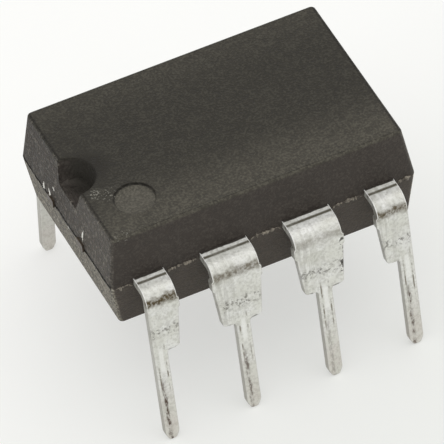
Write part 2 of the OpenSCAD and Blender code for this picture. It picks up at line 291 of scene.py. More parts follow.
class Tree:
    """Short ways to add and join shader nodes in a material or group, and to paint its colour in coats."""

    def __init__(self, tree):
        self.tree = tree
        self.colour = None

    def node(self, kind, **settings):
        made = self.tree.nodes.new(kind)
        for key, value in settings.items():
            setattr(made, key, value)
        return made

    def feed(self, socket, value):
        """Joins value to a socket if it is another node's output, and otherwise sets it there."""
        if isinstance(value, bpy.types.NodeSocket):
            self.tree.links.new(value, socket)
        else:
            socket.default_value = value

    def feed_named(self, inputs, **values):
        """Feeds inputs by name, with _ for a space."""
        for key, value in values.items():
            self.feed(inputs[key.replace("_", " ")], value)

    def fed(self, kind, *values, **settings):
        """The outputs of a new node whose inputs are fed in their order."""
        made = self.node(kind, **settings)
        for socket, value in zip(made.inputs, values):
            self.feed(socket, value)
        return made.outputs

    def math(self, operation, first, *others, clamp=False):
        """A sum, product and so on of all the values."""
        for value in others:
            first = self.fed("ShaderNodeMath", first, value, operation=operation, use_clamp=clamp)[0]
        return first

    def times(self, *values):
        return self.math("MULTIPLY", *values)

    def plus(self, *values):
        return self.math("ADD", *values)

    def minus(self, first, second):
        return self.math("SUBTRACT", first, second)

    def larger(self, *values):
        return self.math("MAXIMUM", *values)

    def unsigned(self, value):
        return self.fed("ShaderNodeMath", value, operation="ABSOLUTE")[0]

    def vector(self, operation, *values):
        return self.fed("ShaderNodeVectorMath", *values, operation=operation)

    def mix(self, share, first, second, kind="MIX"):
        """Colour mix: first where share is 0, second where it is 1."""
        made = self.node("ShaderNodeMix", data_type="RGBA", blend_type=kind, clamp_factor=True)
        self.feed(made.inputs[0], share)
        self.feed(made.inputs[6], first)
        self.feed(made.inputs[7], second)
        return made.outputs[2]

    def paint(self, mask, colour, amount=None, kind="MIX"):
        """A coat of colour over the colour so far, as far as mask says, times amount if given."""
        if amount is not None:
            mask = self.times(mask, amount)
        self.colour = self.mix(mask, self.colour, colour, kind)

    def span(self, value, low, high, to_low=0.0, to_high=1.0):
        """Carries value from low..high to to_low..to_high on a smooth step."""
        return self.fed("ShaderNodeMapRange", value, low, high, to_low, to_high,
                        interpolation_type="SMOOTHSTEP")[0]

    def band(self, value, start, full, fading, gone):
        """0 up to start, 1 from full to fading, and 0 again from gone on."""
        return self.times(self.span(value, start, full), self.span(value, gone, fading))

    def noise(self, vector, scale, detail=2.0, roughness=0.5):
        made = self.node("ShaderNodeTexNoise")
        self.feed_named(made.inputs, Vector=vector, Scale=scale, Detail=detail, Roughness=roughness)
        return made.outputs["Fac"]

    def wobble(self, where, scale, amount, detail=4.0, roughness=0.7):
        """Noise about 0, times amount."""
        return self.times(self.minus(self.noise(where, scale, detail, roughness), 0.5), amount)

    def layer(self, name):
        """One of the mesh's own layers."""
        return self.node("ShaderNodeAttribute", attribute_name=name).outputs

    def place(self):
        """Object coordinates in millimetres, and their three parts."""
        where = self.vector("MULTIPLY", self.node("ShaderNodeTexCoord").outputs["Object"], (1 / MM,) * 3)[0]
        return where, *self.fed("ShaderNodeSeparateXYZ", where)


def shader_group(name, inputs, outputs):
    """A new node group, with the names of its inputs and outputs and their kinds."""
    group = bpy.data.node_groups.new(name, "ShaderNodeTree")
    for way, sockets in (("INPUT", inputs), ("OUTPUT", outputs)):
        for label, kind in sockets.items():
            group.interface.new_socket(label, in_out=way, socket_type="NodeSocket" + kind)
    tree = Tree(group)
    return group, tree, tree.node("NodeGroupInput").outputs, tree.node("NodeGroupOutput").inputs


def fine_grain_group():
    """Fine surface grain: two sizes of noise added together. Gives a mask about 0.5 and a height."""
    group, tree, take, give = shader_group(
        "fine_grain", {"Place": "Vector", "Grains per mm": "Float", "Contrast": "Float"},
        {"Mask": "Float", "Height": "Float"})
    fine = tree.noise(take["Place"], take["Grains per mm"], 3.0, 0.6)
    coarse = tree.noise(take["Place"], tree.math("DIVIDE", take["Grains per mm"], 3.0), 2.0)
    both = tree.plus(tree.times(fine, 0.75), tree.times(coarse, 0.25))
    centred = tree.times(tree.minus(both, 0.5), take["Contrast"])
    tree.feed(give["Mask"], tree.math("ADD", tree.times(centred, 4.0), 0.5, clamp=True))
    tree.feed(give["Height"], both)
    return group


def specks_group():
    """Small separate flecks inside a soft ball: cells of noise that stand above a threshold."""
    group, tree, take, give = shader_group(
        "specks", {"Place": "Vector", "Centre": "Vector", "Stretch": "Vector", "Specks per mm": "Float",
                   "Amount": "Float"}, {"Mask": "Float"})
    away = tree.vector("SUBTRACT", take["Place"], take["Centre"])[0]
    stretched = tree.vector("DIVIDE", away, take["Stretch"])[0]
    near = tree.span(tree.vector("LENGTH", stretched)["Value"], 1.0, 0.3)
    fleck = tree.noise(take["Place"], take["Specks per mm"], 2.0, 0.6)
    limit = tree.minus(0.78, tree.times(take["Amount"], 0.3))
    hit = tree.span(fleck, limit, tree.plus(limit, 0.05))
    tree.feed(give["Mask"], tree.times(hit, near))
    return group


def new_material(name):
    """A material with its tree helper and its Principled shader's inputs."""
    material = bpy.data.materials.new(name)
    material.use_nodes = True
    return material, Tree(material.node_tree), material.node_tree.nodes["Principled BSDF"].inputs


def use_group(tree, group, **values):
    """Places a node group and feeds its inputs by name."""
    made = tree.node("ShaderNodeGroup", node_tree=group)
    tree.feed_named(made.inputs, **values)
    return made.outputs


def grain_at(tree, where, per_mm, contrast):
    """The mask and the height of the fine grain."""
    return use_group(tree, fine_grain, Place=where, Grains_per_mm=per_mm, Contrast=contrast)


def add_bump(tree, shader, height, depth_mm):
    """Height in 0 to 1 becomes relief of depth_mm on the shader's normal."""
    bump = tree.node("ShaderNodeBump")
    tree.feed_named(bump.inputs, Distance=depth_mm * MM, Strength=1.0, Height=height)
    tree.feed(shader["Normal"], bump.outputs[0])


def rgb(red, green, blue):
    """A colour of 0 to 255 as the shader's linear values."""
    return (*(((c / 255 + 0.055) / 1.055) ** 2.4 if c > 10 else c / 3295 for c in (red, green, blue)), 1)


fine_grain = fine_grain_group()
specks = specks_group()


def black_epoxy():
    """Moulding compound: brownish black with a fine grain. The walls are painted paler than the top, most of
    all on their lower half, and the top face paler along its front and back, as painted light and reflection.
    It is lighter in the dimple, with painted shade on the dimple's rim and in the notch. The two ends are
    chipped, and painted paler as painted light, most of all below the parting line, where a dark ragged gap
    runs with painted shadow in it and a painted highlight on its lip. Pale scuffs lie near the notch."""
    material, tree, shader = new_material("black_epoxy")
    where, x, y, z = tree.place()
    grain = grain_at(tree, where, 14.0, 1.4)

    # Where a point lies
    on_top = tree.span(z, TOP - 0.12, TOP - 0.03)
    low_half = tree.span(z, PARTING + 0.03, PARTING - 0.06)
    from_dimple = tree.vector("DISTANCE", where, (*DIMPLE_AT, TOP - DIMPLE_DEPTH))["Value"]
    in_dimple = tree.span(from_dimple, DIMPLE_RADIUS, DIMPLE_RADIUS - 0.05)
    in_notch = tree.span(tree.vector("DISTANCE", where, NOTCH_MIDDLE)["Value"], 0.9, 0.4)
    off_line = tree.minus(z, PARTING)
    from_line = tree.unsigned(off_line)
    wall_x = tree.minus(HALF_LENGTH, tree.times(from_line, math.tan(END_DRAFT)))
    behind_end = tree.minus(wall_x, tree.unsigned(x))
    on_end = tree.span(behind_end, 0.1, 0.03)
    low_end = tree.times(on_end, low_half)

    # Faces, dimple and notch, with painted light, reflection and shade
    # painted reflection: the top face is painted paler towards its front and back edges
    top_edge_reflection = tree.larger(tree.span(y, -0.6, -2.6), tree.span(y, 1.2, 3.0, 0.0, 0.5))
    # painted light: the walls are painted paler than the top, and paler again on their lower half
    tree.colour = tree.mix(low_half, rgb(51, 45, 42), rgb(68, 61, 56))
    tree.paint(on_top, tree.mix(top_edge_reflection, rgb(37, 35, 29), rgb(66, 63, 55)))
    tree.paint(in_dimple, rgb(82, 79, 71))
    # painted shade: a dark ring on the dimple's rim, strongest on its far side
    rim = tree.span(tree.unsigned(tree.minus(from_dimple, DIMPLE_RADIUS - 0.01)), 0.05, 0.01)
    rim = tree.times(rim, tree.span(y, DIMPLE_AT[1] - 0.3, DIMPLE_AT[1] + 0.4, 0.15, 0.85))
    tree.paint(rim, rgb(16, 15, 13))
    # painted shade: the notch is painted darker
    tree.paint(in_notch, rgb(24, 22, 18))

    # Chipped ends, with painted light: paler towards the near side and below the parting line
    # painted light: the ends are painted paler towards the near side
    near_end = tree.times(on_end, tree.span(y, 0.5, -2.0))
    tree.paint(near_end, rgb(98, 93, 86), 0.4)
    # painted light: the ends are painted paler below the parting line, most of all towards the near side
    pale_end = tree.mix(tree.span(y, -0.5, -2.8), rgb(126, 119, 105), rgb(146, 139, 125))
    tree.paint(low_end, pale_end, 0.85)
    chips = tree.noise(where, 7.5, 3.0, 0.7)
    chipped = tree.plus(tree.times(on_end, 0.25), tree.times(low_end, 0.6))
    tree.paint(tree.times(tree.span(chips, 0.53, 0.62, 0.0, 0.8), chipped), rgb(190, 184, 170))
    tree.paint(tree.times(tree.span(chips, 0.46, 0.37, 0.0, 0.75), chipped), rgb(56, 50, 44))

    # Grain and clouds, as a factor about 1
    swing = tree.plus(tree.times(on_top, 0.4), tree.times(on_end, 0.6), 0.45, low_end)
    swing = tree.times(tree.minus(grain["Mask"], 0.5), swing)
    swing = tree.plus(swing, tree.wobble(where, 0.8, 0.4, 3.0, 0.55))
    shade = tree.larger(0.1, tree.plus(1.0, swing))
    tree.paint(1.0, tree.fed("ShaderNodeCombineColor", shade, shade, shade)[0], kind="MULTIPLY")
    fleck = tree.times(tree.span(grain["Mask"], 0.45, 1.0), tree.plus(0.1, tree.times(low_end, 0.6)))
    tree.paint(tree.times(fleck, tree.minus(1.0, in_notch)), rgb(132, 131, 122))

    # Painted shade along each end's top edge, painted shadow in the gap between the mould halves, and a
    # painted highlight on its lip
    # painted shade: a dark line on the top face along the edge of each end
    end_edge_shade = tree.times(tree.span(behind_end, 0.12, 0.07), tree.span(z, TOP - 0.03, TOP - 0.01, 0.0, 0.6))
    tree.paint(end_edge_shade, rgb(24, 22, 18))
    open_line = tree.unsigned(tree.plus(off_line, 0.01, tree.wobble(where, 3.0, 0.22)))
    gap = tree.times(tree.span(behind_end, 0.004, 0.016), tree.span(from_line, 0.12, 0.08))
    gap = tree.larger(gap, tree.times(on_end, tree.span(open_line, 0.095, 0.055)))
    inside = tree.span(tree.unsigned(y), HALF_WIDTH - 0.04, HALF_WIDTH - 0.1)
    gap = tree.times(gap, inside, tree.span(behind_end, 0.3, 0.2))
    below = tree.unsigned(tree.plus(off_line, 0.07, tree.wobble(where, 5.0, 0.12)))
    # painted highlight: pale specks on the lip just below the gap
    lip_highlight = tree.times(on_end, tree.span(below, 0.04, 0.0), tree.span(grain["Mask"], 0.45, 0.8))
    tree.paint(lip_highlight, rgb(226, 220, 204))
    # painted shadow: the gap along the parting line is painted near black
    tree.paint(gap, rgb(12, 10, 8))

    # Scuffs, gloss and relief
    scuffs = [use_group(tree, specks, Place=where, Centre=(*centre, TOP), Stretch=(*reach, 0.3),
                        Specks_per_mm=17.0, Amount=amount)["Mask"] for centre, reach, amount in SCUFFS]
    tree.paint(tree.times(tree.larger(*scuffs), 0.6), rgb(156, 154, 144))
    rough = tree.span(grain["Mask"], 0.0, 1.0, 0.46, 0.7)
    tree.feed_named(shader, Base_Color=tree.colour, Roughness=rough, Specular_IOR_Level=0.44,
                    Specular_Tint=(1.0, 0.94, 0.84, 1.0))
    coarse = tree.plus(1.0, tree.times(on_end, 2.5), tree.times(low_end, 0.5))
    add_bump(tree, shader, tree.times(tree.minus(grain["Height"], 0.5), coarse), 0.05)
    return material


def grained(name, dark, light, grains, contrast, roughness, relief, metallic=0.0):
    """A plain finish: two close colours mixed by the fine grain, which also gives gloss and relief."""
    material, tree, shader = new_material(name)
    grain = grain_at(tree, tree.place()[0], grains, contrast)
    tree.feed_named(shader, Base_Color=tree.mix(grain["Mask"], dark, light), Metallic=metallic,
                    Roughness=tree.span(grain["Mask"], 0.0, 1.0, *roughness))
    add_bump(tree, shader, grain["Height"], relief)
    return material


def dull_tin():
    """Tin plating. The strip layer says where a point is: across the lead, along it from the end of the
    bend, and how far it faces outwards. Another layer says how marked each lead is and how strong its painted
    reflection under the bend is, and the cut_side layer how far a point is on the sheared side. Bands,
    streaks and specks are placed by them, among them a painted reflection under the bend and painted
    highlights."""
    material, tree, shader = new_material("dull_tin")
    where, x, y, _ = tree.place()
    across, along, outer = tree.fed("ShaderNodeSeparateXYZ", tree.layer("strip")["Vector"])
    # how strong each lead's marks and its painted reflection under the bend are
    marks_and_reflection = tree.times(outer, tree.layer("wear")["Fac"])
    cut_side = tree.layer("cut_side")["Fac"]
    grain = grain_at(tree, where, 11.0, 1.1)
    drawn = tree.noise(tree.vector("MULTIPLY", where, (9.0, 0.8, 0.8))[0], 1.0, 3.0, 0.6)
    blotch = tree.noise(where, 2.2, 4.0, 0.6)
    drift = tree.wobble(where, 4.0, 0.3, 4.0, 0.6)

    # Blotched tin with drawn lines on the upper left and fine dark grain
    tree.colour = tree.mix(tree.span(blotch, 0.35, 0.7), rgb(228, 228, 221), rgb(241, 241, 238))
    upper_left = tree.times(tree.span(across, 0.3, -0.6, 0.2, 1.0), tree.span(along, 2.2, 1.0, 0.2, 1.0))
    lines = tree.times(tree.span(drawn, 0.6, 0.4, 0.0, 0.3), upper_left)
    tree.paint(lines, rgb(150, 147, 138))
    tree.paint(tree.span(grain["Mask"], 0.0, 0.8, 0.32, 0.0), rgb(150, 147, 136))

    # Painted reflection of the dark body: a brown band where the bend ends
    patchy = tree.span(tree.noise(where, 9.0, 4.0, 0.7), 0.35, 0.6, 0.45, 1.0)
    bend_end_reflection = tree.times(tree.band(tree.plus(along, 0.06, drift), *BEND_END_REFLECTION_BAND), patchy, marks_and_reflection)
    tree.paint(bend_end_reflection, rgb(96, 84, 60), 0.95)

    # Painted highlight: a bright line down the top of the leg, with a dark scrape on each side of it
    middle = tree.unsigned(across)
    leg_highlight = tree.times(tree.span(middle, 0.09, 0.04, 0.0, 0.7), tree.band(along, *LEG_HIGHLIGHT_BAND), outer)
    tree.paint(leg_highlight, rgb(248, 248, 245))
    scrape = tree.span(tree.unsigned(tree.minus(middle, 0.12)), 0.03, 0.01)
    scrape = tree.times(scrape, tree.span(blotch, 0.45, 0.6), tree.band(along, *SCRAPE_BAND), outer)
    tree.paint(scrape, rgb(140, 134, 122))

    # Tarnish and a broken dark streak down the leg
    streak_x = tree.unsigned(tree.plus(across, 0.065, tree.times(drift, 0.4)))
    long_specks = tree.noise(tree.vector("MULTIPLY", where, (1.0, 1.0, 0.4))[0], 11.0, 4.0, 0.75)
    broken = tree.span(long_specks, 0.4, 0.62, 0.1, 1.0)
    streak = tree.times(tree.span(streak_x, 0.08, 0.015), tree.span(along, 2.5, 3.2), broken, marks_and_reflection)
    tint = tree.times(tree.span(along, 2.6, 4.4, 0.0, 0.35), tree.span(blotch, 0.35, 0.65, 0.3, 1.0))
    tree.paint(tint, rgb(176, 160, 142))
    tree.paint(streak, rgb(84, 66, 54), 0.95)

    # Painted shade in the pressed line before the bend, and a dark band where the strip leaves the body
    # painted shade: the pressed groove is painted dark
    pressed = tree.times(tree.band(along, *PRESSED_BAND), tree.span(blotch, 0.3, 0.55, 0.7, 1.0), outer)
    tree.paint(pressed, rgb(92, 88, 74))
    # a dark band on the strip where it leaves the body
    body_edge_band = tree.times(tree.span(tree.plus(along, tree.times(drift, 0.3)), -0.78, -0.81), outer)
    tree.paint(body_edge_band, rgb(58, 53, 47))

    # A row of pits across the shoulder, and the chewed right rim of lead 3
    pits = tree.times(tree.band(tree.plus(along, tree.times(drift, 0.8)), *PIT_BAND),
                      tree.span(tree.noise(where, 10.0, 4.0, 0.7), 0.54, 0.61), outer)
    tree.paint(pits, rgb(112, 106, 94), 0.6)
    from_rim = tree.plus(tree.minus(x, CHEWED_RIM), tree.times(along, 0.07))
    chewed = tree.times(tree.band(from_rim, -0.12, -0.07, 0.15, 0.2), tree.span(y, 0.0, -1.0), outer,
                        tree.band(along, *CHEWED_BAND))
    bites = tree.span(tree.noise(where, 6.5, 3.0, 0.7), 0.5, 0.55, 0.0, 0.9)
    tree.paint(tree.times(chewed, bites), rgb(50, 44, 36))

    # Duller sheared sides, and a painted highlight along the rounded edges, strongest on the strip and the
    # bend
    tree.paint(cut_side, rgb(112, 109, 100), 0.4)
    # painted highlight: a bright line along the rounded edges
    edge_highlight = tree.band(cut_side, 0.02, 0.25, 0.6, 0.95)
    edge_highlight = tree.times(edge_highlight, tree.span(along, 0.25, -0.1, 0.25, 1.0))
    tree.paint(edge_highlight, rgb(250, 250, 247))
    metallic = tree.minus(0.65, tree.times(tree.span(along, -0.3, -0.55), 0.6))
    rough = tree.plus(tree.span(grain["Mask"], 0.0, 1.0, 0.42, 0.6), tree.times(bend_end_reflection, 0.2))
    tree.feed_named(shader, Base_Color=tree.colour, Metallic=metallic, Roughness=rough)
    add_bump(tree, shader, tree.minus(tree.plus(grain["Height"], tree.times(drawn, 0.3)), pits), 0.035)
    return material


def lead_frame_copper():
    """Copper alloy strip, darker at the tie bars' cut ends."""
    material, tree, shader = new_material("lead_frame_copper")
    where, x, _, _ = tree.place()
    grain = grain_at(tree, where, 12.0, 0.8)
    colour = tree.mix(grain["Mask"], rgb(150, 92, 62), rgb(206, 146, 108))
    cut = tree.span(tree.unsigned(x), HALF_LENGTH - 0.12, HALF_LENGTH - 0.05)
    cut_end_dark = tree.mix(grain["Mask"], rgb(40, 32, 26), rgb(92, 80, 66))
    tree.feed_named(shader, Base_Color=tree.mix(cut, colour, cut_end_dark),
                    Metallic=tree.minus(1.0, tree.times(cut, 0.6)),
                    Roughness=tree.span(grain["Mask"], 0.0, 1.0, 0.3, 0.5))
    add_bump(tree, shader, grain["Height"], 0.01)
    return material


def silver_adhesive():
    """Silver-filled adhesive: matte grey with bright flakes."""
    material, tree, shader = new_material("silver_adhesive")
    flakes = grain_at(tree, tree.place()[0], 30.0, 1.0)
    flake = flakes["Mask"]
    tree.feed_named(shader, Base_Color=tree.mix(flake, rgb(120, 120, 122), rgb(205, 205, 208)),
                    Metallic=tree.times(flake, 0.6), Roughness=tree.span(flake, 0.0, 1.0, 0.75, 0.4))
    add_bump(tree, shader, flakes["Height"], 0.004)
    return material


def silicon():
    """Polished silicon with a faint grid of circuit blocks on its face."""
    material, tree, shader = new_material("silicon")
    blocks = tree.node("ShaderNodeTexBrick", offset=0.37, squash=0.6)
    tree.feed_named(blocks.inputs, Vector=tree.place()[0], Color1=rgb(66, 72, 96), Color2=rgb(92, 82, 98),
                    Mortar=rgb(150, 148, 120), Scale=5.0, Mortar_Size=0.012)
    tree.feed_named(shader, Base_Color=blocks.outputs["Color"], Metallic=0.6,
                    Roughness=tree.span(blocks.outputs["Fac"], 0.0, 1.0, 0.16, 0.3))
    return material


def profile(depth, full, draft, height):
    """Half size at a depth below a face: the drafted wall, or the edge's arc near the face. Also gives
    the wall alone."""
    at_face = full - height * math.tan(draft)
    wall = at_face + depth * math.tan(draft)
    centre = at_face + EDGE_RADIUS * (math.tan(draft) - 1 / math.cos(draft))
    arc = centre + np.sqrt(np.maximum(EDGE_RADIUS**2 - (EDGE_RADIUS - depth) ** 2, 0))
    return np.where(depth < EDGE_RADIUS * (1 - math.sin(draft)), arc, wall), wall


def half_sizes(depth, height):
    """Half length, half width and corner radius of the body's outline at a depth below a face."""
    length, sharp = profile(depth, HALF_LENGTH, END_DRAFT, height)
    width, _ = profile(depth, HALF_WIDTH, SIDE_DRAFT, height)
    return length, width, CORNER_RADIUS - (sharp - length)


def carried(x, y, old, new):
    """Carries points from an outline of old half sizes to one of new ones, corners to corners, and turns
    the squares at the corners into quarter circles."""
    out = []
    for value, was, size in zip((x, y), old, new):
        knots = [-was, old[2] - was, was - old[2], was]
        out.append(np.interp(value, knots, [-size, new[2] - size, size - new[2], size]))
    dx, dy = (abs(value) - (size - new[2]) for value, size in zip(out, new))
    corner = (dx > 0) & (dy > 0)
    pull = np.where(corner, np.maximum(dx, dy) / np.maximum(np.hypot(dx, dy), 1e-9), 1)
    return tuple(np.where(corner, np.sign(v) * (s - new[2] + d * pull), v)
                 for v, s, d in zip(out, new, (dx, dy)))


def cap_grid(cap, reach):
    """The grid lines of both caps, through the ends of the corners and every ring of the hollows."""
    corner = np.append(np.linspace(0, cap[2], 5), CORNER_HOLD)
    xs = [both_signs(cap[0] - corner), -cap[0] + reach[0] * NOTCH_RINGS,
          DIMPLE_AT[0] + both_signs(DIMPLE_RINGS), both_signs(EJECTOR_X + both_signs(EJECTOR_RINGS))]
    ys = [both_signs(cap[1] - corner), both_signs(reach[1] * NOTCH_RINGS),
          DIMPLE_AT[1] + both_signs(DIMPLE_RINGS), both_signs(EJECTOR_RINGS), [0]]
    return np.meshgrid(*(ladder(np.concatenate(stops), CAP_STEP) for stops in (xs, ys)), indexing="ij")


def top_cap(grid, cap, reach, end_top):
    """The top face with its dimple and notch. Half squares round the middle of one edge become the notch:
    outer rings its cone, inner ones its floor. Share runs from 0 at that middle to 1 at the rim, and turn
    along each half ring. Also gives which points lie in the notch."""
    x, y, ring = disc_warp(*carried(*grid, cap, cap), DIMPLE_AT, DIMPLE_RINGS[-1], DIMPLE_REACH)
    dimple = np.interp(ring, DIMPLE_RINGS, DIMPLE_DEPTHS)
    dx, dy = (grid[0] + cap[0]) / reach[0], grid[1] / reach[1]
    share = np.maximum(dx, abs(dy))
    turn = np.arctan2(dy, dx) / (math.pi / 2)
    sunk = np.interp(share, NOTCH_RINGS, NOTCH_DEPTHS)
    radius = np.where(share > 1, NOTCH_RADIUS * share, NOTCH_RADIUS - sunk * math.tan(NOTCH_DRAFT))
    end_at = profile(sunk, HALF_LENGTH, END_DRAFT, UPPER)[0]
    widest = np.arccos(np.clip((end_top - end_at) / radius, -1, 1))
    spread = np.clip(share / NOTCH_FOOT, 0, 1)
    arc_x = -end_at + spread * (radius * np.cos(turn * widest) - end_top + end_at)
    arc_y = spread * radius * np.sin(turn * widest)
    hold = 1 - smooth(share, NOTCH_RINGS[-1], NOTCH_REACH)
    x, y = x + hold * (arc_x - x), y + hold * (arc_y - y)
    in_notch = share < NOTCH_RINGS[-1]
    return np.stack([x, y, TOP - np.where(in_notch, sunk, dimple)], -1), in_notch


def body_wall(rim, rim_top, in_notch, cap):
    """The rim of the caps carried down a profile of insets against height: rows from the top cap to the
    parting line, and on to the underside. In the notch they start at its foot."""
    arc = EDGE_RADIUS * (1 - np.sin(np.radians([90, 72, 54, 36, 20, 5])))
    by_line = np.array([0.12, 0.07, 0.05, 0.035, 0.022, 0.01])
    down = np.concatenate([arc, ladder([0.1, 0.6, UPPER - 0.2], WALL_STEP), UPPER - by_line, [UPPER]])
    up = np.concatenate([LOWER - by_line[::-1], ladder([LOWER - 0.2, 0.6, 0.1], WALL_STEP)[::-1], arc[::-1]])
    sunk = (TOP - rim_top[:, 2]) * in_notch
    parting_y = carried(*rim, cap, (HALF_LENGTH, HALF_WIDTH, CORNER_RADIUS))[1]
    rows = [rim_top]
    for depth in down[1:]:
        x, y = carried(*rim, cap, half_sizes(depth, UPPER))
        part = depth / UPPER
        deeper = sunk + part * (UPPER - sunk)
        y = np.where(sunk > 1e-6, rim_top[:, 1] + part * (parting_y - rim_top[:, 1]), y)
        x = np.where(sunk > 1e-6, -profile(deeper, HALF_LENGTH, END_DRAFT, UPPER)[0], x)
        rows.append(np.stack([x, y, TOP - deeper], -1))
    for depth in up:
        x, y = carried(*rim, cap, half_sizes(depth, LOWER))
        rows.append(np.stack([x, y, np.full(len(x), UNDERSIDE + depth)], -1))
    return np.stack(rows)


def open_gap(wall):
    """Opens a ragged gap along the parting line on the two ends of the wall."""
    x, y, off_line = wall[..., 0], wall[..., 1], wall[..., 2] - PARTING
    on_end = smooth(abs(x), HALF_LENGTH - 0.05, HALF_LENGTH - 0.015) * (abs(y) < HALF_WIDTH - 0.1)
    ragged = np.clip(0.8 + wander(y * np.sign(x) + 9, 4, 1.9, 9), 0.25, 1.5)
    wall[..., 0] -= np.sign(x) * on_end * GAP_DEPTH * ragged * np.exp(-((off_line / GAP_HEIGHT) ** 2))
    wall[..., 2] += on_end * smooth(abs(off_line), 0.2, 0.0) * GAP_SHIFT * wander(y + 3, 8, 1.1, 7)


def bottom_cap(grid, cap, base):
    """The underside with its two ejector marks."""
    x, y = carried(*grid, cap, base)
    raised = np.zeros_like(x)
    for side in (-1, 1):
        x, y, ring = disc_warp(x, y, (side * EJECTOR_X, 0), EJECTOR_RINGS[-1], EJECTOR_REACH)
        raised += np.interp(ring, EJECTOR_RINGS, EJECTOR_DEPTHS)
    return np.stack([x, y, UNDERSIDE + raised], -1)


def moulded_body(finish):
    """The body as one closed grid: a rectangle of grid lines makes the top cap, the same lines stretched
    make the bottom cap, and the rectangle's rim makes the wall."""
    cap, base = half_sizes(0.0, UPPER), half_sizes(0.0, LOWER)
    end_top = HALF_LENGTH - UPPER * math.tan(END_DRAFT)
    set_back = end_top - cap[0]
    reach = (NOTCH_RADIUS - set_back, math.sqrt(NOTCH_RADIUS**2 - set_back**2))
    grid = cap_grid(cap, reach)
    top, in_notch = top_cap(grid, cap, reach, end_top)
    rim = rim_walk(*in_notch.shape)
    wall = body_wall((grid[0][rim], grid[1][rim]), top[rim], in_notch[rim], cap)
    open_gap(wall)
    bottom = bottom_cap(grid, cap, base)

    top_index = np.arange(in_notch.size).reshape(in_notch.shape)
    wall_index = top_index.size + np.arange(wall[..., 0].size).reshape(wall.shape[:2])
    bottom_index = top_index.size + wall_index.size + top_index
    points = np.concatenate([part.reshape(-1, 3) for part in (top, wall, bottom)])
    quads = np.concatenate([grid_quads(top_index), grid_quads(closed_rows(wall_index))[:, ::-1],
                            grid_quads(bottom_index)[:, ::-1]])
    return dress(add_mesh("moulded_body_shell", points, quads), finish, "moulding_compound", "moulded_body")


def rounded_line(corners, steps=5):
    """A line through corners (x, s, radius), as arcs: each corner becomes steps + 1 points of the circle
    that touches both of its sides. The two end corners stay points."""
    at = np.array([corner[:2] for corner in corners], float)
    radius = np.array([corner[2] for corner in corners[1:-1]])[:, None]
    back, ahead = at[:-2] - at[1:-1], at[2:] - at[1:-1]
    back /= np.linalg.norm(back, axis=1)[:, None]
    ahead /= np.linalg.norm(ahead, axis=1)[:, None]
    half = np.arccos(np.clip((back * ahead).sum(1), -1, 1))[:, None] / 2
    middle = back + ahead
    centre = at[1:-1] + middle / np.linalg.norm(middle, axis=1)[:, None] * radius / np.sin(half)
    start = at[1:-1] + back * radius / np.tan(half) - centre
    hand = np.sign(back[:, 1] * ahead[:, 0] - back[:, 0] * ahead[:, 1])[:, None]
    angle = hand * (math.pi - 2 * half) * np.linspace(0, 1, steps + 1)
    x = centre[:, :1] + start[:, :1] * np.cos(angle) - start[:, 1:] * np.sin(angle)
    s = centre[:, 1:] + start[:, :1] * np.sin(angle) + start[:, 1:] * np.cos(angle)
    return np.concatenate([at[:1], np.stack([x, s], -1).reshape(-1, 2), at[-1:]])


def lead_sides(is_end):
    """The two sides of a lead's flat pattern as lines of (x, s): x from the leg's middle line, s along the
    strip from the middle of the body, through the bend, to the tip. Both run from the finger to the tip."""
    heel, tip = TURN_S + SHOULDER_RUN, TURN_S + TIP_RUN
    small, wide, slope = 0.03, 0.12, 0.006
    inner, neck, arm, anchor = (HALF_WIDTH - inside for inside in FINGER_STEPS)
    lead_x = -1.5 * PITCH if is_end else -0.5 * PITCH
    stub_s = TURN_S + DAM_STUB
    shoulder = [(SHOULDER, TURN_S, small), (SHOULDER + DAM_STUB, stub_s, small),
                (SHOULDER + DAM_STUB, stub_s + DAM_WIDTH, small),
                (SHOULDER, stub_s + DAM_WIDTH + DAM_STUB, small),
                (SHOULDER - SHOULDER_TAPER, heel, wide), (LEG_HALF, heel + slope, wide)]
    foot = [(LEG_HALF, tip - TIP_LENGTH, 0.35), (0.11, tip - slope, 0.09), (TIP_HALF, tip, 0)]
    if is_end:
        near, elbow, far = (x - lead_x for x in END_FINGER)
        right = [(near, inner, 0), (near, arm, small), (elbow, arm + slope, 0.08),
                 (SHOULDER, arm + 0.3, small)]
        left = [(far, inner, 0), (-LEG_HALF, arm, small)]
        left_end = foot
    else:
        near, far = (x - lead_x for x in INNER_FINGER)
        right = [(near, inner, 0), (near, neck, small), (SHOULDER, anchor, small)]
        left = [(far, inner, 0), (far, neck, small), (-SHOULDER, anchor, small)]
        left_end = shoulder + foot
    return rounded_line(left + [(-x, s, r) for x, s, r in left_end]), rounded_line(right + shoulder + foot)


def bent(x, s, t):
    """Bends the flat pattern: level up to the bend, then round an arc, then straight down at the splay.
    t is the height above the middle of the strip."""
    turned = np.clip((s - BEND_Y) / BEND_MIDDLE, 0, BEND_ANGLE)
    past = np.maximum(s - TURN_S, 0)
    before = np.minimum(s - BEND_Y, 0)
    y = BEND_Y + before + (BEND_MIDDLE + t) * np.sin(turned) + past * math.cos(BEND_ANGLE)
    z = BEND_Z + (BEND_MIDDLE + t) * np.cos(turned) - past * math.sin(BEND_ANGLE)
    return np.stack([x, y, z], -1)


def fitted(grid, rim, rim_values, columns, share):
    """Moves a grid's rim to new values, and the rest of each row by its share along with its two ends."""
    ends = grid.copy()
    ends[rim] = rim_values
    moved = ends - grid
    rows = moved[:, :1] + (moved[:, -1:] - moved[:, :1]) * columns
    out = grid + share[:, None] * rows
    out[rim] = rim_values
    return out


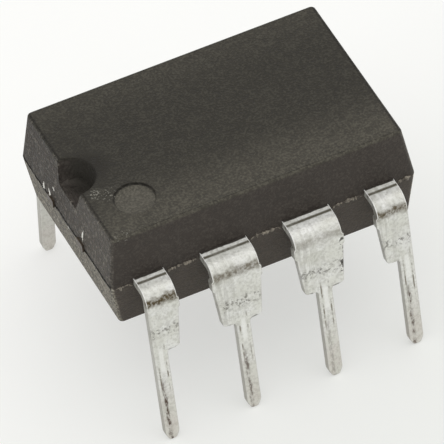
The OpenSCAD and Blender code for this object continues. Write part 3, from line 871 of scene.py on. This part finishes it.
def lead(number, finish):
    """One lead: a grid of rows across the flat pattern, whose rim is drawn in for a rounded edge that runs
    round the outline from the front face to the back one. A block of cells round the locking hole is left
    out and its rim is turned into a circle. Everything is then bent."""
    column = number - 1 if number <= 4 else 8 - number
    is_end = column in (0, 3)
    left, right = lead_sides(is_end)
    centre_x = (SHOULDER - LEG_HALF) / 2 if is_end else 0
    breadth = SHOULDER + LEG_HALF if is_end else 2 * SHOULDER
    hole_steps = HOLE_RADIUS * np.array([-1.6, -1, -0.5, 0, 0.5, 1, 1.6])
    pressed_s = HALF_WIDTH + PRESSED_AT
    extra = np.concatenate([HOLE_Y + hole_steps, pressed_s + 0.02 * np.arange(-3, 4),
                            np.linspace(BEND_Y, TURN_S, 13), TURN_S + np.linspace(0.5, TIP_RUN - 0.25, 24)])
    rows = np.unique(np.round(np.concatenate([left[:, 1], right[:, 1], extra]), 4))
    rows = rows[np.append(np.diff(rows) > LEAST_STEP, True)]
    for stop in HOLE_Y + hole_steps:
        rows[np.argmin(abs(rows - stop))] = stop
    columns = np.concatenate([[0, 0.09], 0.5 + hole_steps / breadth, [0.91, 1]])
    low, high = (np.interp(rows, side[:, 1], side[:, 0])[:, None] for side in (left, right))
    flat_x = low + (high - low) * columns
    flat_s = np.repeat(rows[:, None], len(columns), 1)
    flat_x, flat_s, _ = disc_warp(flat_x, flat_s, (centre_x, HOLE_Y), HOLE_RADIUS, 1.55 * HOLE_RADIUS)

    # The rim of the grid, walked once round, and its outward direction
    count, wide = flat_x.shape
    rim = rim_walk(wide, count)[::-1]
    outline = np.stack([flat_x[rim], flat_s[rim]], 1)
    step = np.roll(outline, -1, 0) - outline
    step /= np.maximum(np.linalg.norm(step, axis=1), 1e-9)[:, None]
    side = np.stack([step[:, 1], -step[:, 0]], 1)
    outward = side + np.roll(side, 1, 0)
    outward /= np.maximum(np.linalg.norm(outward, axis=1), 1e-9)[:, None]

    # Edge profile from the front face round to the back face: how far in, and how high
    half, radius = STRIP / 2, EDGE_ROUND
    corner = np.radians([0, 30, 60, 90])
    inset = np.concatenate([[radius + 0.012], radius * (1 - np.sin(corner))])
    height = np.concatenate([[half], half - radius * (1 - np.cos(corner))])
    inset, height = np.append(inset, inset[::-1]), np.append(height, -height[::-1])
    ring_x = outline[:, 0] - inset[:, None] * outward[:, 0]
    ring_s = outline[:, 1] - inset[:, None] * outward[:, 1]
    ring_t = np.repeat(height[:, None], len(outline), 1)
    near_tip = smooth(rows, rows[-1] - 0.24, rows[-1] - 0.1)
    inner_x = fitted(flat_x, rim, ring_x[0], columns, np.ones(count))
    inner_s = fitted(flat_s, rim, ring_s[0], columns, near_tip)

    # Cells of the hole
    row_at, column_at = np.argmin(abs(rows - HOLE_Y)), 5
    keep = np.ones((count - 1, wide - 1), bool)
    keep[row_at - 2:row_at + 2, column_at - 2:column_at + 2] = False
    index = np.arange(count * wide).reshape(count, wide)
    block = index[row_at - 2:row_at + 3, column_at - 2:column_at + 3]
    hole_rim = block.T[rim_walk(*block.shape)]
    cells = grid_quads(index)[keep.ravel()]
    back = count * wide
    ring_index = 2 * back + np.arange(ring_x.size).reshape(ring_x.shape)
    hole_wall = np.stack([hole_rim, hole_rim + back])
    quads = np.concatenate([cells, cells[:, ::-1] + back, grid_quads(closed_rows(ring_index))[:, ::-1],
                            grid_quads(closed_rows(hole_wall))])

    # A pressed line across the strip just before the bend, and slight waves in the front face
    from_left, from_right = inner_x - low, high - inner_x
    pressed = PRESSED_DEPTH * np.exp(-(((inner_s - pressed_s) / PRESSED_HALF) ** 2))
    pressed *= smooth(from_left, 0.04, 0.12) * smooth(from_right, 0.04, 0.12)
    wave = WAVE * wander(inner_s, 20 + number, 1.3) * wander(inner_x, 40 + number, 0.9)
    wave *= smooth(np.minimum(from_left, from_right), 0.03, 0.12)
    all_x = strung(inner_x, inner_x, ring_x)
    all_s = strung(inner_s, inner_s, ring_s)
    all_t = strung(half - pressed + wave, np.full_like(inner_x, -half), ring_t)
    points = bent(all_x, all_s, all_t)
    hand = -1 if column >= 2 else 1
    points[:, 0] = (points[:, 0] - (1.5 if is_end else 0.5) * PITCH) * hand
    points[:, 1] *= -1 if number <= 4 else 1
    strip = np.stack([all_x * hand, all_s - TURN_S, smooth(all_t, 0.0, 0.1)], 1)
    wear = np.full(len(points), WEAR_AND_REFLECTION[number - 1])
    cut_ring = np.repeat(1 - smooth(inset, 0.0, radius)[:, None], len(outline), 1)
    cut_side = strung(np.zeros((2, back)), cut_ring)
    piece = add_mesh(f"lead_{number}_plated", points, quads, strip=strip, wear=wear, cut_side=cut_side)
    return dress(piece, finish, "tinned_lead", f"lead_{number}")


def ridge(name, path, outward, size, finish, slot):
    """A thin ridge along a path: at each point a ring of four corners, size across and out of the surface.
    The path is a row of points, outward the direction that the ridge stands out, and size one number for
    each point. The rings of the two ends close to a point."""
    along = np.gradient(path, axis=0)
    along /= np.linalg.norm(along, axis=1)[:, None]
    across = np.cross(along, outward)
    from_ends = np.minimum(np.linspace(0, 1, len(path)), np.linspace(1, 0, len(path)))
    size = size * np.minimum(1, 4 * from_ends) + 1e-4
    corners = np.array([(0.6, -0.5), (0.35, 0.7), (-0.35, 0.7), (-0.6, -0.5)])
    points = np.stack([path + size[:, None] * (a * across + b * outward) for a, b in corners], 1)
    index = np.arange(len(path) * 4).reshape(-1, 4)
    caps = np.stack([index[0], index[-1][::-1]])
    quads = np.concatenate([grid_quads(closed_rows(index)), caps])
    return dress(add_mesh(name, points.reshape(-1, 3), quads, weld=False), finish, slot)


def flash_lines(finish):
    """Moulding flash between the leads on both sides: it runs along the parting line and drops to the
    underside of the strip beside each lead. Its size wanders, so that it breaks up into flecks."""
    from_corner, beside = 0.12, 0.02
    middles = (np.arange(4) - 1.5) * PITCH
    starts = np.append(from_corner - HALF_LENGTH, middles + [SHOULDER, SHOULDER, SHOULDER, LEG_HALF]) + beside
    stops = np.append(middles - [LEG_HALF, SHOULDER, SHOULDER, SHOULDER], HALF_LENGTH - from_corner) - beside
    for side, row in ((-1, "front"), (1, "back")):
        for gap, (start, stop) in enumerate(zip(starts, stops)):
            x = np.linspace(start, stop, 90)
            drop_left = 0 if gap == 0 else FLASH_DROPS[0] * smooth(x - start, 0.22, 0.0)
            drop_right = 0 if gap == 4 else FLASH_DROPS[1] * smooth(stop - x, 0.16, 0.0)
            seed = 60 + gap + (10 if side > 0 else 0)
            z = PARTING - 0.02 - drop_left - drop_right + 0.012 * wander(x, seed, 0.6)
            y = side * (HALF_WIDTH - abs(z - PARTING) * math.tan(SIDE_DRAFT))
            size = FLASH * np.clip(0.7 + 0.9 * wander(x, seed + 100, 0.5, 7), 0.05, 1.5)
            path = np.stack([x, y, z], 1)
            outward = np.array([0, side, 0.0])
            ridge(f"flash_{row}_{gap + 1}", path, outward, size, finish, "moulding_compound")


def tie_bar_burrs(finish):
    """Bright burrs beside the tie bars' cut ends: thin slivers of metal that lie on the drafted end wall.
    The far end has the same slivers turned half round."""
    for end, name in ((1, "notch"), (-1, "far")):
        for count, (start, stop, thick) in enumerate(BURRS, 1):
            along = np.linspace(0, 1, 16)[:, None]
            y, z = (np.array(start) + (np.array(stop) - start) * along).T
            y = y + 0.012 * wander(z, 90 + count, 0.2)
            x = -(HALF_LENGTH - abs(z) * math.tan(END_DRAFT))
            path = np.stack([end * x, end * y, PARTING + z], 1)
            size = thick * np.clip(0.9 + 0.4 * wander(z, 95 + count, 0.25), 0.4, 1.4)
            outward = np.array([-float(end), 0, 0])
            ridge(f"tie_bar_burr_{name}_{count}", path, outward, size, finish, "tinned_lead")


def in_view(tree):
    """1 for rays that come from the camera, by way of a gloss or glass or not, and 0 for light."""
    path = tree.node("ShaderNodeLightPath").outputs
    return tree.larger(path["Is Camera Ray"], path["Is Glossy Ray"], path["Is Transmission Ray"])


def pale_floor():
    """A pale sheet under the lead tips, painted a little brighter away from the camera as painted light."""
    material, tree, shader = new_material("pale_sheet")
    where, x, y, _ = tree.place()
    paper = grain_at(tree, where, 0.3, 0.3)
    # painted light: the sheet is painted brighter away from the camera
    away = tree.plus(tree.times(x, -0.35), y)
    pale = tree.mix(tree.span(away, -9.0, 9.0), rgb(238, 239, 236), rgb(252, 252, 250))
    pale = tree.mix(tree.times(paper["Mask"], 0.06), pale, rgb(220, 222, 220))
    shown = in_view(tree)
    tree.feed_named(shader, Base_Color=tree.mix(tree.times(shown, 0.5), pale, (0, 0, 0, 1)), Roughness=0.9,
                    Specular_IOR_Level=0.2, Emission_Color=pale, Emission_Strength=tree.times(shown, 0.55))
    corners = np.array([(-1, -1, 0), (1, -1, 0), (1, 1, 0), (-1, 1, 0)]) * FLOOR_HALF * MM
    sheet = bpy.data.meshes.new("floor")
    sheet.from_pydata(corners.tolist(), [], [(0, 1, 2, 3)])
    cover(sheet, material)
    new_object("floor", sheet)


def studio_light():
    """An even white surround, whiter low down where it is seen, and a soft lamp overhead."""
    world = bpy.data.worlds.new("surround")
    bpy.context.scene.world = world
    world.use_nodes = True
    world.node_tree.nodes.clear()
    tree = Tree(world.node_tree)
    seen = in_view(tree)
    direction = tree.node("ShaderNodeTexCoord").outputs["Generated"]
    white = tree.span(tree.fed("ShaderNodeSeparateXYZ", direction)[2], 0.1, 0.6, 0.95, 0.65)
    light = tree.times(tree.minus(1.0, seen), SURROUND_LIGHT)
    strength = tree.plus(tree.times(seen, white), light)
    surround = tree.fed("ShaderNodeBackground", (1, 1, 0.99, 1), strength)[0]
    tree.fed("ShaderNodeOutputWorld", surround)

    lamp = bpy.data.lights.new("overhead_softbox", "AREA")
    lamp.shape = "RECTANGLE"
    lamp.size, lamp.size_y = 0.5, 0.4
    lamp.energy = 0.66
    box = new_object("overhead_softbox", lamp)
    box.location = (0.02, -0.09, 0.42)
    box.rotation_euler = (math.radians(9), 0, 0)


def photo_camera():
    """The photograph's camera: back is the direction from the part to it, from azimuth and elevation, and
    level and above are turned about back by the roll."""
    back = np.array([math.sin(AZIMUTH) * math.cos(ELEVATION), -math.cos(AZIMUTH) * math.cos(ELEVATION),
                     math.sin(ELEVATION)])
    level = np.cross([0, 0, 1], back)
    level /= np.linalg.norm(level)
    above = np.cross(back, level)
    right = math.cos(ROLL) * level + math.sin(ROLL) * above
    up = math.cos(ROLL) * above - math.sin(ROLL) * level
    eye = (AIM_RIGHT * right + AIM_UP * up + DISTANCE * back + np.array([0, 0, PARTING])) * MM
    lens = bpy.data.cameras.new("camera")
    lens.sensor_width = SENSOR
    lens.lens = SENSOR * FOCAL_PIXELS / PHOTO_SIDE
    lens.clip_start, lens.clip_end = 0.01, 10.0
    placed = np.eye(4)
    placed[:3] = np.stack([right, up, back, eye], 1)
    camera = new_object("camera", lens)
    camera.matrix_world = Matrix(placed.tolist())
    bpy.context.scene.camera = camera


pale_floor()
studio_light()
photo_camera()
bpy.context.scene.view_settings.view_transform = "Standard"

moulded_body(black_epoxy())
tin = dull_tin()
for number in range(1, 9):
    lead(number, tin)
flash = grained("flash_epoxy", rgb(80, 74, 66), rgb(160, 152, 138), 10.0, 0.9, (0.5, 0.8), 0.01)
flash_lines(flash)
burr = grained("bright_burr", rgb(206, 204, 196), rgb(244, 243, 238), 14.0, 0.6, (0.22, 0.38), 0.006, 1.0)
tie_bar_burrs(burr)

gold = grained("drawn_gold", rgb(206, 150, 60), rgb(240, 190, 96), 14.0, 0.6, (0.17, 0.33), 0.006, 1.0)
inner = {"die_paddle": lead_frame_copper(), "die_attach": silver_adhesive(), "die": silicon()}
inner.update({f"bond_wire_{number}": gold for number in range(1, 9)})
for node, finish in inner.items():
    cover(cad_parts[node].data, finish)
